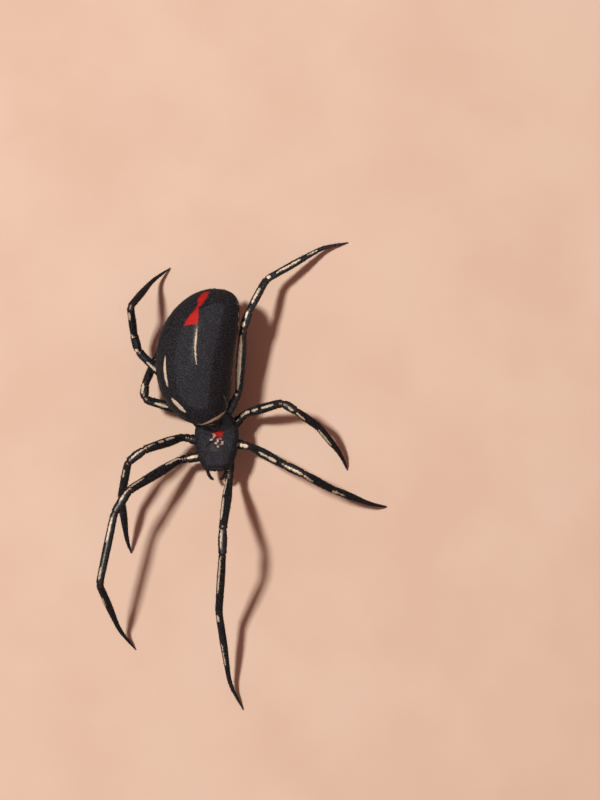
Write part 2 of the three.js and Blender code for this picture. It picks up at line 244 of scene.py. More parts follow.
def ringUnwrap(rows, sides, places):
    return np.stack([0.02 + 0.96 * (places[:, 0] + 0.5) / rows, 0.02 + 0.96 * places[:, 1] / sides], 1)


def makeObject(name, points, faces, unwrap, material, fields=None):
    mesh = bpy.data.meshes.new(name)
    mesh.from_pydata((np.asarray(points) * metresPerMm).tolist(), [], faces)
    mesh.uv_layers.new(name="OFBake").data.foreach_set("uv", unwrap.astype(np.float32).ravel())
    for field, values in (fields or {}).items():
        layer = mesh.attributes.new(field, "FLOAT", "POINT")
        layer.data.foreach_set("value", np.asarray(values, np.float32).ravel())
    mesh.shade_smooth()
    mesh.materials.append(material)
    piece = bpy.data.objects.new(name, mesh)
    scene.collection.objects.link(piece)
    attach(piece, "root")
    return piece


# The points or values of a grid of rings in one list, and then the means of its first and last ring.
def withEnds(rings):
    lists = rings.reshape(rings.shape[0], rings.shape[1], -1)
    return np.vstack([lists.reshape(-1, lists.shape[2]), lists[0].mean(0), lists[-1].mean(0)])


# One object of several skins, each with a band of the unwrap.
def joinedGrids(name, grids, material, fields=None):
    points, faces, unwraps, values, first = [], [], [], {}, 0
    for n, grid in enumerate(grids):
        rows, sides = grid.shape[:2]
        gridFaces, places = ringFaces(rows, sides)
        points.append(withEnds(grid))
        faces += [tuple(first + corner for corner in face) for face in gridFaces]
        band = ringUnwrap(rows, sides, places)
        unwraps.append(np.stack([band[:, 0], (n + band[:, 1]) / len(grids)], 1))
        for field, layers in (fields or {}).items():
            values.setdefault(field, []).append(withEnds(layers[n]))
        first += rows * sides + 2
    values = {field: np.concatenate(parts) for field, parts in values.items()}
    return makeObject(name, np.vstack(points), faces, np.vstack(unwraps), material, values)


def skinPiece(name, grid, material, fields=None):
    layers = {field: [values] for field, values in (fields or {}).items()}
    return joinedGrids(name, [grid], material, layers)


# Fields that have one value everywhere on some grids.
def evenFields(grids, **values):
    return {field: [np.full(grid.shape[:2], value) for grid in grids] for field, value in values.items()}


def gridNormals(grid):
    around = np.roll(grid, -1, 1) - np.roll(grid, 1, 1)
    along = np.gradient(grid, axis=0)
    return unit(np.cross(around, along))


# Bristles: thin curved three-sided spikes, rooted just under a skin and leaning along its rows.
bristle = {
    "sides": 3, "sink": 0.03, "bend": 0.35,
    "rings": ((0.0, 1.0), (0.5, 0.72)),        # how far along, and the radius as a share of the root's
    "turnSpread": 0.22, "liftSpread": 6,       # how unlike their neighbours they lie, and in degrees rise
    "patch": 0.0015,                           # radius of each one's place on the unwrap
    "boxMargin": 0.004,
}


def coatPiece(name, grid, coat, weight=None, seed=1):
    draw = np.random.default_rng(seed)
    count, corners = coat["count"], bristle["sides"]
    rows, sides = grid.shape[:2]
    around = np.linalg.norm(np.roll(grid, -1, 1) - grid, axis=-1)[:-1]
    along = np.linalg.norm(grid[1:] - grid[:-1], axis=-1)
    share = (around * along * (1 if weight is None else weight[:-1])).ravel()
    cells = draw.choice(share.size, count, p=share / share.sum())
    i, j = np.divmod(cells, sides)
    u, v = draw.random(count)[:, None], draw.random(count)[:, None]
    k = (j + 1) % sides
    near = grid[i, j] * (1 - v) + grid[i, k] * v
    far = grid[i + 1, j] * (1 - v) + grid[i + 1, k] * v
    roots = near * (1 - u) + far * u
    normals = gridNormals(grid)[i, j]
    lie = unit(far - near) * coat.get("toward", 1)
    lie = unit(lie + np.cross(normals, lie) * draw.normal(0, bristle["turnSpread"], (count, 1)))
    shortest, longest = coat["length"]
    length = shortest + (longest - shortest) * draw.random((count, 1)) ** 2
    lift = np.radians(draw.normal(coat["lift"], bristle["liftSpread"], (count, 1)))
    start = normals * np.sin(lift) + lie * np.cos(lift)
    finish = unit(start + lie * bristle["bend"])
    side = unit(np.cross(start, normals))
    up = np.cross(side, start)
    sunk = roots - normals * bristle["sink"]
    unwrapRoots = ringUnwrap(rows, sides, np.stack([i + u[:, 0], j + v[:, 0]], 1))
    points, patches = [], []
    for t, thick in bristle["rings"]:
        middle = sunk + length * (t * start + t * t * (finish - start) / 2)
        for turn in turnsOf(corners):
            reach = np.array([math.cos(turn), math.sin(turn)])
            points.append(middle + coat["radius"] * thick * (side * reach[0] + up * reach[1]))
            patches.append(unwrapRoots + bristle["patch"] * (1 - t) * reach)
    points.append(sunk + length * (start + finish) / 2)
    patches.append(unwrapRoots)
    points, patches = np.stack(points, 1), np.stack(patches, 1)
    points = np.clip(points, lowCorner + bristle["boxMargin"], highCorner - bristle["boxMargin"])
    oneSet = [(2, 1, 0)]
    for n in range(corners):
        m = (n + 1) % corners
        oneSet += [(n, m, m + corners), (n, m + corners, n + corners)]
        oneSet.append((n + corners, m + corners, 2 * corners))
    faces = (np.arange(count)[:, None, None] * points.shape[1] + np.array(oneSet)[None]).reshape(-1, 3)
    unwrap = patches.reshape(-1, 2)[faces.ravel()]
    return makeObject(name, points.reshape(-1, 3), faces.tolist(), unwrap, hairMaterial)


# Places at some distances along a line of points, and the two directions across it at each.
def sweep(line, stations):
    line = np.asarray(line, float)
    run = runAlong(line)
    at = lambda where: np.stack([np.interp(where, run, line[:, axis]) for axis in range(3)], 1)
    middles = at(stations)
    reach = 0.02                               # the line's direction is taken over this far each way
    tangents = unit(at(np.minimum(run[-1], stations + reach)) - at(np.maximum(0, stations - reach)))
    side = unit(np.cross([0, 0, 1], tangents[0]))
    sides = []
    for tangent in tangents:
        side = unit(side - tangent * np.dot(side, tangent))
        sides.append(side)
    sides = np.array(sides)
    ups = np.cross(tangents, sides)
    return middles, unit(np.cross(ups, tangents)), ups


def sweepGrid(line, stations, radii, sides, flatten=1.0):
    middles, across, up = sweep(line, stations)
    turn = turnsOf(sides)
    radii = np.broadcast_to(radii, (len(stations), sides))[..., None]
    return (middles[:, None] + across[:, None] * np.cos(turn)[None, :, None] * radii
            + up[:, None] * np.sin(turn)[None, :, None] * radii * flatten)


# A smooth line through a few points.
def smoothLine(points, steps=24):
    points = np.asarray(points, float)
    padded = np.vstack([2 * points[0] - points[1], points, 2 * points[-1] - points[-2]])
    line = []
    for a, b, c, d in zip(padded, padded[1:], padded[2:], padded[3:]):
        for t in np.linspace(0, 1, steps, endpoint=False):
            line.append(0.5 * (2 * b + (c - a) * t + (2 * a - 5 * b + 4 * c - d) * t ** 2
                               + (3 * b - a - 3 * c + d) * t ** 3))
    return np.array(line + [points[-1]])


# Legs, front to back. Lengths of coxa with trochanter, femur, patella, tibia, metatarsus, tarsus.
leg = {
    "pairs": [
        {"root": (0.85, -0.95), "lengths": (1.7, 5.7, 1.8, 5.0, 5.9, 2.3), "girth": 1.0},
        {"root": (0.83, -0.05), "lengths": (1.5, 4.2, 1.4, 3.2, 3.9, 1.6), "girth": 1.0},
        {"root": (0.9, 0.84), "lengths": (1.5, 3.4, 1.1, 2.5, 3.2, 1.5), "girth": 0.98},
        {"root": (0.58, 1.66), "lengths": (1.9, 4.7, 1.3, 2.9, 5.0, 1.9), "girth": 0.96},
    ],
    # Headings of the six segments, 0 to the spider's left and 90 to its tail, and slopes of the first
    # five. Highlight streaks are painted highlights, cream marks along a leg on the side toward the key
    # light: segment, from, to, half width.
    "left": [
        {"heading": (-90, -97, -91, -94, -82, -63), "slope": (4, 56, -3, -38, -31),
         "highlightStreaks": ((1, 0, 0.38, 0.075), (1, 0.42, 0.9, 0.1), (2, 0.05, 0.8, 0.05), (3, 0, 0.65, 0.07),
                     (4, 0.02, 0.12, 0.1), (4, 0.4, 0.75, 0.05))},
        {"heading": (-11, -28, -25, -29, -22, -9), "slope": (5, 51, 10, -48, -41),
         "highlightStreaks": ((0, 0.5, 1, 0.15), (1, 0.34, 0.62, 0.06), (1, 0.62, 0.86, 0.11), (2, 0, 0.48, 0.06),
                     (2, 0.48, 1, 0.09), (3, 0, 0.32, 0.09), (4, 0, 0.16, 0.1), (4, 0.16, 0.34, 0.05))},
        {"heading": (46, 16, -32, -35, -51, -68), "slope": (4, 39, 1, -42, -40),
         "highlightStreaks": ((0, 0.8, 1, 0.12), (1, 0, 0.2, 0.09), (1, 0.24, 0.42, 0.07), (1, 0.5, 0.84, 0.08),
                     (2, 0.4, 0.85, 0.08), (3, 0, 0.36, 0.07), (4, 0, 0.6, 0.085))},
        {"heading": (61, 86, 72, 62, 30, 11), "slope": (5, 24, -1, -32, -26), "tilt": 20,
         "highlightStreaks": ((0, 0.86, 1, 0.1), (1, 0.05, 0.94, 0.165), (2, 0.12, 0.42, 0.13), (2, 0.6, 1, 0.08),
                     (3, 0.15, 0.68, 0.1), (4, 0, 0.07, 0.12), (4, 0.15, 0.6, 0.07), (4, 0.7, 0.9, 0.04))},
    ],
    "right": [
        {"heading": (-170, -149, -123, -102, -69, -52), "slope": (4, 46.5, 3, -6, -54),
         "highlightStreaks": ((0, 0.2, 0.76, 0.09), (1, 0, 0.3, 0.1), (1, 0.72, 1, 0.05), (2, 0, 0.6, 0.05),
                     (3, 0.06, 0.42, 0.08), (3, 0.75, 0.95, 0.06), (4, 0.2, 0.42, 0.07))},
        {"heading": (166, 198, 217, 258, 276, 287), "slope": (5, 50, 4, -40, -41),
         "highlightStreaks": ((1, 0.28, 0.52, 0.09), (1, 0.56, 0.7, 0.08), (1, 0.78, 1, 0.05), (2, 0, 0.8, 0.05),
                     (3, 0.15, 0.42, 0.05))},
        {"heading": (130, 164, 86, 69, 62, 56), "slope": (2, 20, -22, -50, -12),
         "highlightStreaks": ((1, 0.5, 0.82, 0.11), (2, 0.25, 1, 0.11))},
        {"heading": (139, 136, 103, 96, 52, 36), "slope": (-6, 9, 22, 50, -62),
         "highlightStreaks": ((1, 0.58, 0.82, 0.08), (2, 0, 0.25, 0.13), (2, 0.9, 1, 0.07), (3, 0, 0.08, 0.07),
                     (3, 0.6, 0.92, 0.12))},
    ],
    "coxaHeight": 2.45, "footHeight": 0.03,
    "bendReaches": (0.42, 0.5, 0.42, 0.48, 0.85),
    # Radii of each segment at its root, its belly and its end.
    "radii": ((0.34, 0.35, 0.26), (0.26, 0.335, 0.28), (0.26, 0.31, 0.275),
              (0.25, 0.28, 0.255), (0.245, 0.25, 0.15), (0.145, 0.11, 0.045)),
    "sides": 28, "step": 0.045,
    "rootReach": 0.42,                         # the rounded hip goes this far into the body
    "trochanter": 0.72,                        # where the coxa ends, along the first segment
    "grooves": (0.07, 0.08, 0.09, 0.08, 0.07, 0.05),     # half widths, from the trochanter outward
    "grooveDepth": 0.13, "collar": 0.05, "collarReach": 0.06,
    "grooveShape": (1.15, 0.35),               # a groove is this wide at the sides, and less above by that
    "bellyAt": 0.4,                            # where a segment is thickest, as a share of it
    # The highlight streaks are painted highlights, laid on the side of each leg toward the key light.
    "highlightTilt": 28,                          # how far the streaks lie over to the spider's right, degrees
    "highlightWidth": 0.9,                        # all the streaks' widths are taken times this
    "clawRoom": 0.08,
    "bareRoot": 1.6, "bareMembrane": 0.6,      # no bristles up to here, or where so much is membrane
}
claw = {
    "spread": 0.03, "back": 0.03, "rise": 0.03, "length": 0.17, "radius": 0.024, "taper": 0.85,
    "middle": 0.07, "reach": 0.125, "tipHeight": 0.03, "lowest": 0.002, "sides": 8,
}
legCoat = {"count": 1500, "length": (0.13, 0.3), "radius": 0.009, "lift": 24}


def legLine(pair, pose, side):
    joints = [np.array([side * pair["root"][0], pair["root"][1], leg["coxaHeight"]]) + prosomaPlace]
    for i, length in enumerate(pair["lengths"]):
        drop = (leg["footHeight"] - joints[-1][2]) / length
        slope = math.radians(pose["slope"][i]) if i < 5 else math.asin(drop)
        heading = math.radians(pose["heading"][i])
        joints.append(joints[-1] + length * direction(heading, slope))
    hip = joints[0] - leg["rootReach"] * unit(joints[1] - joints[0])
    line, bends = [hip, joints[0]], []
    for i in range(1, len(joints) - 1):
        before = joints[i] - leg["bendReaches"][i - 1] * unit(joints[i] - joints[i - 1])
        after = joints[i] + leg["bendReaches"][i - 1] * unit(joints[i + 1] - joints[i])
        for t in np.linspace(0, 1, 25):
            line.append((1 - t) ** 2 * before + 2 * t * (1 - t) * joints[i] + t * t * after)
        bends.append(len(line) - 13)
    line.append(joints[-1])
    run = runAlong(line)
    return np.array(line), np.concatenate([[leg["rootReach"]], run[bends], [run[-1]]])


# How much of a rounded end is there, as a share of the full radius, at a distance from its tip.
def roundEnd(distance, reach):
    return np.sqrt(1 - np.clip(1 - distance / reach, 0, 1) ** 2)


def legGrid(pair, pose, side):
    line, ends = legLine(pair, pose, side)
    stations = np.arange(0.01, ends[-1] - leg["clawRoom"], leg["step"])
    segment = np.clip(np.searchsorted(ends, stations) - 1, 0, len(leg["radii"]) - 1)
    share = np.maximum(0, (stations - ends[segment]) / (ends[segment + 1] - ends[segment]))
    root, belly, end = np.array(leg["radii"])[segment].T
    swell = root + (belly - root) * smoothStep(share / leg["bellyAt"])
    thin = belly + (end - belly) * smoothStep((share - leg["bellyAt"]) / (1 - leg["bellyAt"]))
    radius = np.where(share < leg["bellyAt"], swell, thin) * pair["girth"]
    radius = radius * roundEnd(stations, leg["rootReach"]) * roundEnd(stations[-1] - stations + 0.004, 0.1)
    radii = np.repeat(radius[:, None], leg["sides"], 1)
    joints = np.concatenate([[ends[0] + (ends[1] - ends[0]) * leg["trochanter"]], ends[1:-1]])
    membrane = np.zeros_like(radii)
    for joint, halfWidth in zip(joints, leg["grooves"]):
        away = (stations - joint)[:, None]
        width = halfWidth * (leg["grooveShape"][0] - leg["grooveShape"][1] * np.sin(turnsOf(leg["sides"])))
        groove = smoothStep((width - np.abs(away)) / (0.6 * width) + 0.2)
        collar = bell(np.abs(away) - width - leg["collarReach"], leg["collarReach"]) * leg["collar"]
        radii = radii * (1 - leg["grooveDepth"] * groove + collar)
        membrane = np.maximum(membrane, bell(away / (2.2 * width), 1))
    grid = sweepGrid(line, stations, radii, leg["sides"])
    # Painted highlights: cream streaks on the side of each ring that faces up and over toward the key light.
    tilt = math.radians(pose.get("tilt", leg["highlightTilt"]))
    facing = gridNormals(grid) @ np.array([-math.sin(tilt), 0, math.cos(tilt)])
    facing = facing / np.maximum(0.05, facing.max(1, keepdims=True))
    across = radii * np.arccos(np.clip(facing, -1, 1))
    paintedHighlight = np.full_like(radii, -1.0)
    for part, begin, finish, halfWidth in pose["highlightStreaks"]:
        first, last = (ends[part] + (ends[part + 1] - ends[part]) * at for at in (begin, finish))
        reach = (stations - (first + last) / 2)[:, None] / ((last - first) / 2)
        taper = leg["highlightWidth"] * np.maximum(0, 1 - np.abs(reach) ** 3) ** 0.7
        paintedHighlight = np.maximum(paintedHighlight, np.where(np.abs(reach) < 1, halfWidth * taper - across, -1))
    grid = np.clip(grid, lowCorner, highCorner)
    return grid, {"membrane": membrane, "paleLine": paintedHighlight}, line


def clawGrids(line):
    along = unit(line[-1] - line[-2])
    across = unit(np.cross([0, 0, 1], along))
    tip = line[-1] - along * (leg["clawRoom"] + claw["back"])
    stations = np.linspace(0, claw["length"], 10)
    radii = claw["radius"] * (1 - claw["taper"] * stations / claw["length"])
    grids = []
    for side in (-1, 1):
        first = tip + across * side * claw["spread"]
        hook = smoothLine([first, first + along * claw["middle"] + [0, 0, claw["rise"]],
                           first + along * claw["reach"] - [0, 0, tip[2] - claw["tipHeight"]]], 8)
        grid = sweepGrid(hook, stations, radii[:, None], claw["sides"])
        grid[..., 2] = np.maximum(grid[..., 2], claw["lowest"])
        grids.append(grid)
    return grids


legPieces = []
for sideName, side in (("left", 1), ("right", -1)):
    for i, pair in enumerate(leg["pairs"]):
        title = f"leg_{i + 1}_{sideName}"
        grid, fields, line = legGrid(pair, leg[sideName][i], side)
        skin = skinPiece(f"{title}_skin", grid, legMaterial, fields)
        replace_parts(skin, f"{title}_femur", f"{title}_tibia", f"{title}_foot")
        clear = fields["membrane"] <= leg["bareMembrane"]
        clear[: int(leg["bareRoot"] / leg["step"])] = False
        coat = coatPiece(f"{title}_bristles", grid, legCoat, clear, seed=10 * i + side + 3)
        claws = joinedGrids(f"{title}_claws", clawGrids(line), fangMaterial)
        legPieces += [skin, coat, claws]
print("legs made")


# Abdomen, in its own frame: +Y to the tail, +Z to the back, bowed a little to its left.
abdomen = {
    "place": (-1.42, 5.84, 5.0), "halfLength": 4.66, "halfWidth": 2.64, "back": 2.84, "belly": 2.35,
    "roundness": 2.4, "bow": 1.05, "shoulder": 0.13, "droop": 0.4,
    "turn": -6.9, "roll": -15, "lift": 3,      # degrees
    "rows": 190, "sides": 200,
    "dimples": ((0.62, -1.5), (0.78, 0.6)),    # muscle pits, each side of the middle line
    "dimple": 0.16, "dimpleLength": 0.8, "dimpleDepth": 0.025,
    # The belly has a fold in front of the hourglass, a plate over each lung and a knob at the fold.
    "furrow": {"at": -1.95, "curve": 0.08, "halfWidth": 1.5, "reach": 0.09, "depth": 0.1},
    "lung": {"side": 0.95, "ahead": 0.62, "width": 0.62, "length": 0.45, "rise": 0.05},
    "knob": {"ahead": 0.2, "width": 0.34, "length": 0.24, "rise": 0.12, "pit": 0.1, "pitReach": 0.35},
    "vent": {"down": 1.3, "width": 0.3, "height": 0.2, "rise": 0.08, "from": 0.9},
    "wrinkle": {"rise": 0.012, "count": 9, "bend": 2, "bendCount": 3, "at": -4.4, "reach": 0.8},
    # The red mark on the back is two lobes joined by a thread.
    "redLobes": (((0.64, 4.42), (0.66, 4.03), (0.51, 3.62), (0.32, 3.37), (0.22, 3.37), (0.19, 3.63),
                  (0.05, 3.78), (0.08, 4.01), (0.16, 4.24), (0.33, 4.4)),
                 ((0.22, 3.42), (0.3, 3.42), (0.39, 3.12), (0.52, 2.7), (0.56, 2.3), (0.44, 2.19),
                  (0.11, 2.14), (-0.36, 2.02), (-0.32, 2.34), (-0.14, 2.74), (0.08, 3.05))),
    "hourglass": {"waist": 0.36, "front": 1.5, "rear": -1.1, "halfWidth": 0.72},
    # Painted highlights on the back, cream strokes where the gloss shines: points, half width.
    "highlightStrokes": ((((0.55, 2.14), (0.63, 1.4), (0.66, 0.82), (0.76, 0.2), (0.96, -0.6)), 0.062),
                (((-1.41, -0.2), (-1.35, -0.93), (-1.2, -1.6), (-0.98, -2.22)), 0.105),
                (((-0.68, -2.95), (-0.2, -3.35), (0.4, -3.8)), 0.15)),
    # A cream line round the front, in width and height.
    "crescent": {"line": ((-0.1, 0.84), (0.45, 1.04), (0.97, 1.1), (1.39, 0.94), (1.76, 0.52), (2.0, 0.05)),
                 "halfWidth": 0.12, "behind": -2.8},
}
abdomenCoat = {"count": 5200, "length": (0.1, 0.2), "radius": 0.008, "lift": 32, "toward": -1}


# Distance to a straight line between two points, and the share of it where it is nearest.
def lineDistance(x, y, start, end):
    dx, dy = end[0] - start[0], end[1] - start[1]
    share = np.clip(((x - start[0]) * dx + (y - start[1]) * dy) / (dx * dx + dy * dy), 0, 1)
    return np.hypot(x - start[0] - share * dx, y - start[1] - share * dy), share


# Distance in from the edge of an outline, less than 0 outside it.
def edgeDistance(x, y, outline):
    nearest = np.full(x.shape, 1e9)
    inside = np.zeros(x.shape, bool)
    for start, end in zip(outline, outline[1:] + outline[:1]):
        nearest = np.minimum(nearest, lineDistance(x, y, start, end)[0])
        (x0, y0), (x1, y1) = start, end
        crosses = (y0 > y) != (y1 > y)
        inside ^= crosses & (x < (x1 - x0) * (y - y0) / ((y1 - y0) or 1e-9) + x0)
    return np.where(inside, nearest, -nearest)


# Distance in from the edge of a brush stroke that narrows to both ends.
def strokeDistance(x, y, points, halfWidth):
    field = np.full(x.shape, -1.0)
    last = len(points) - 1
    for n, (start, end) in enumerate(zip(points, points[1:])):
        away, share = lineDistance(x, y, start, end)
        width = halfWidth * np.sqrt(np.maximum(0.02, np.sin(math.pi * (n + share) / last)))
        field = np.maximum(field, width - away)
    return field


def hourglassDistance(across, y):
    shape = abdomen["hourglass"]
    along = y - shape["waist"]
    reach = np.where(along > 0, shape["front"] - shape["waist"], shape["waist"] - shape["rear"])
    t = np.abs(along) / reach
    width = shape["halfWidth"] * (0.1 + 0.9 * np.minimum(1, t) ** 1.5) * np.sqrt(np.maximum(0, 1 - t ** 10))
    return np.where(t < 1, width - np.abs(across), -1)


# Rows spaced as on a ball, as shares of the way from the middle to each end.
def ballRows(rows, first=-1):
    return np.sin(np.linspace(first * math.pi / 2, -first * math.pi / 2, rows + 2))[1:-1, None]


def abdomenGrid():
    share, turn = ballRows(abdomen["rows"], 1), turnsOf(abdomen["sides"])[None]
    n = abdomen["roundness"]
    fall = (1 - np.abs(share) ** n) ** (1 / n)
    back = abdomen["back"] * (1 - abdomen["shoulder"] * share)
    height = np.where(np.sin(turn) > 0, back, abdomen["belly"]) * fall
    x = abdomen["halfWidth"] * fall * np.cos(turn) + abdomen["bow"] * share ** 2
    y = share * abdomen["halfLength"] + 0 * turn
    z = height * np.sin(turn) - abdomen["droop"] * np.maximum(0, share) ** 2
    grid = np.stack([x, y, z], -1)
    across = x - abdomen["bow"] * share ** 2
    above = z > 0
    relief = np.zeros_like(x)
    for px, py in abdomen["dimples"]:
        pit = np.hypot(np.abs(across) - px, (y - py) * abdomen["dimpleLength"])
        relief -= abdomen["dimpleDepth"] * bell(pit, abdomen["dimple"]) * above
    furrow, lung, knob = abdomen["furrow"], abdomen["lung"], abdomen["knob"]
    fold = bell(y - furrow["at"] - furrow["curve"] * across ** 2, furrow["reach"])
    relief -= furrow["depth"] * (fold * (np.abs(across) < furrow["halfWidth"]) * ~above)
    cover = np.hypot((np.abs(across) - lung["side"]) / lung["width"],
                     (y - furrow["at"] + lung["ahead"]) / lung["length"])
    relief += lung["rise"] * smoothStep(1.3 - cover) * ~above
    away = np.hypot(across / knob["width"], (y - furrow["at"] + knob["ahead"]) / knob["length"])
    relief += knob["rise"] * smoothStep(1.3 - away) * ~above
    relief -= knob["pit"] * bell(away, knob["pitReach"]) * ~above
    wrinkle, vent = abdomen["wrinkle"], abdomen["vent"]
    wave = np.sin(wrinkle["count"] * across + wrinkle["bend"] * np.sin(wrinkle["bendCount"] * y))
    relief += wrinkle["rise"] * wave * bell(y - wrinkle["at"], wrinkle["reach"])
    tail = np.hypot(across / vent["width"], (z + vent["down"]) / vent["height"])
    relief += vent["rise"] * smoothStep(1.4 - tail) * (share > vent["from"])
    band = abdomen["crescent"]
    crescent = strokeDistance(across, z, band["line"], band["halfWidth"])
    crescent = np.where(y < band["behind"], crescent, -1)
    # Painted highlights: the cream strokes on the back.
    highlightStrokes = [strokeDistance(x, y, points, width) for points, width in abdomen["highlightStrokes"]]
    fields = {
        "redMark": np.where(above, np.maximum(*(edgeDistance(x, y, lobe) for lobe in abdomen["redLobes"])),
                            hourglassDistance(across, y)),
        "paleLine": np.maximum(crescent, np.where(above, np.max(highlightStrokes, axis=0), -1)),
        "brown": np.where(above, 0, np.maximum(1 - cover, 0.8 * smoothStep(1.4 - away))),
    }
    grid = grid + gridNormals(grid) * relief[..., None]
    return grid, fields


abdomenTurn = np.array(Euler((math.radians(abdomen["lift"]), math.radians(abdomen["roll"]),
                              math.radians(abdomen["turn"])), "YXZ").to_matrix())


def fromAbdomen(points):
    return np.asarray(points, float) @ abdomenTurn.T + np.array(abdomen["place"]) + prosomaPlace


grid, fields = abdomenGrid()
grid = fromAbdomen(grid)
abdomenSkin = skinPiece("abdomen_skin", grid, abdomenMaterial, fields)
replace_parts(abdomenSkin, "abdomen")
coatPiece("abdomen_bristles", grid, abdomenCoat, seed=71)
print("abdomen made")

# Cephalothorax: a shield above, a plate below, and soft sides between them.
carapace = {
    "front": -1.97, "rear": 1.95, "halfWidth": 1.5, "widestAt": 0.45,
    "frontReach": 2.75, "rearReach": 1.75, "margin": 2.98, "lip": 0.1,
    "closeAt": 0.42,                           # the ends close here, as a share of the height
    "bead": 0.03, "beadAt": 0.05,              # a raised line along the margin
    "top": ((1.95, 3.42), (0.95, 3.7), (0.35, 3.78), (-0.7, 3.98), (-1.5, 3.94), (-1.97, 3.72)),
    "sidePower": 0.9, "domePower": 0.85,
    "rows": 110, "capRows": 16, "sides": 150, "bevel": 0.16, "bevelPower": 3,
    "fovea": (0, 0.42), "foveaSize": (0.2, 0.11), "foveaDepth": 0.17,
    # Grooves fan out from the fovea at these headings. The last two, to the head, are longer and deeper.
    "grooves": (12, 48, 78, 102, 132, 168, 222, 318), "grooveWidth": 0.075, "grooveFrom": 0.15,
    "grooveDepth": 0.04, "grooveLength": 0.95, "headDepth": 0.068, "headLength": 1.25,
    "redMark": ((-0.42, 0.5), (-0.1, 0.68), (0.5, 0.82), (0.42, 0.5), (0.2, 0.18), (-0.02, 0.36)),
    # Painted glints, cream flecks under the red mark: x, y, length, width, heading.
    "paintedGlints": ((-0.14, 0.4, 0.2, 0.09, 70), (-0.34, 0.14, 0.2, 0.08, 20), (0.06, 0.04, 0.26, 0.09, 80),
               (0.4, -0.06, 0.2, 0.08, 120), (0.13, -0.32, 0.14, 0.06, 60), (-0.1, -0.12, 0.12, 0.06, 10),
               (0.28, 0.16, 0.16, 0.05, 150), (-0.22, 0.52, 0.1, 0.05, 100), (0.26, -0.2, 0.12, 0.05, 40)),
}
carapaceCoat = {"count": 900, "length": (0.1, 0.2), "radius": 0.008, "lift": 30}


def carapaceHalfWidth(y):
    reach = np.where(y < carapace["widestAt"], carapace["frontReach"], carapace["rearReach"])
    share = np.minimum(1, np.abs(y - carapace["widestAt"]) / reach)
    return carapace["halfWidth"] * np.sqrt(1 - share ** 2.2)


def carapaceTop(y):
    line = carapace["top"]
    top = np.full(np.shape(y), line[-1][1], float)
    for (y0, z0), (y1, z1) in zip(line, line[1:]):
        top = np.where((y <= y0) & (y >= y1), z0 + (z1 - z0) * smoothStep((y - y0) / (y1 - y0)), top)
    return top


def carapaceHeight(x, y):
    cosine = min(1, abs(x) / float(carapaceHalfWidth(y))) ** (1 / carapace["sidePower"])
    rise = float(carapaceTop(y)) - carapace["margin"]
    return carapace["margin"] + rise * math.sqrt(1 - cosine * cosine) ** carapace["domePower"]


def fleckDistance(x, y, middleX, middleY, length, width, heading):
    reach = np.array([math.cos(math.radians(heading)), math.sin(math.radians(heading))]) * length / 2
    return strokeDistance(x, y, ((middleX - reach[0], middleY - reach[1]), (middleX, middleY),
                                 (middleX + reach[0], middleY + reach[1])), width / 2 + 0.02)


def carapaceGrid():
    bevel, power = carapace["bevel"], carapace["bevelPower"]
    front, rear = carapace["front"] + bevel, carapace["rear"] - bevel
    caps = np.linspace(0.08, 0.97, carapace["capRows"])
    bulge = bevel * (1 - caps ** power) ** (1 / power)
    body = np.linspace(rear, front, carapace["rows"] - 2 * carapace["capRows"])
    y = np.concatenate([rear + bulge, body, (front - bulge)[::-1]])[:, None]
    scale = np.concatenate([caps, np.ones(len(body)), caps[::-1]])[:, None]
    turn = turnsOf(carapace["sides"])[None]
    clamped = np.clip(y, front, rear)
    cosine, sine = np.cos(turn), np.sin(turn)
    x = carapaceHalfWidth(clamped) * scale * np.sign(cosine) * np.abs(cosine) ** carapace["sidePower"]
    rise = carapaceTop(clamped) - carapace["margin"]
    height = np.where(sine > 0, rise * np.abs(sine) ** carapace["domePower"], carapace["lip"] * sine)
    middle = rise * carapace["closeAt"]
    z = carapace["margin"] + middle + (height - middle) * scale
    y = y + 0 * turn
    above = sine > 0
    fx, fy = carapace["fovea"]
    wide, long = carapace["foveaSize"]
    relief = -carapace["foveaDepth"] * np.exp(-((x - fx) / wide) ** 2 - ((y - fy) / long) ** 2)
    radius, angle = np.hypot(x - fx, y - fy), np.arctan2(y - fy, x - fx)
    for heading in carapace["grooves"]:
        off = radius * np.sin(angle - math.radians(heading))
        ahead = radius * np.cos(angle - math.radians(heading))
        kind = "head" if heading > 180 else "groove"
        ends = (smoothStep((ahead - carapace["grooveFrom"]) / 0.2)
                * smoothStep((carapace[f"{kind}Length"] - ahead) / 0.3))
        relief -= carapace[f"{kind}Depth"] * bell(off, carapace["grooveWidth"]) * ends
    relief += carapace["bead"] * bell(height - carapace["beadAt"], carapace["beadAt"]) * (scale > 0.96)
    grid = np.stack([x, y, z], -1)
    grid[..., 2] += np.where(above, relief, 0)
    # Painted glints: the cream flecks on the shield.
    paintedGlints = [fleckDistance(x, y, *fleck) for fleck in carapace["paintedGlints"]]
    fields = {
        "redMark": np.where(above, edgeDistance(x, y, carapace["redMark"]), -1),
        "paleLine": np.where(above, np.max(paintedGlints, axis=0), -1),
    }
    return grid + prosomaPlace, fields


grid, fields = carapaceGrid()
shield = skinPiece("carapace_shield", grid, carapaceMaterial, fields)
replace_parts(shield, "cephalothorax")
upper = np.broadcast_to(np.sin(turnsOf(carapace["sides"])) > 0.1, grid.shape[:2])
coatPiece("carapace_bristles", grid, carapaceCoat, upper, seed=91)

# Breastplate, and the soft sides that carry the hips of the legs.
breast = {
    "front": -1.42, "rear": 1.5, "halfWidth": 0.66, "bottom": 1.98, "rows": 40, "sides": 48, "thick": 0.5,
}
core = {
    "front": -1.72, "rear": 1.72, "width": 0.68, "middle": 2.6, "halfHeight": 0.42, "rows": 60, "sides": 64,
}


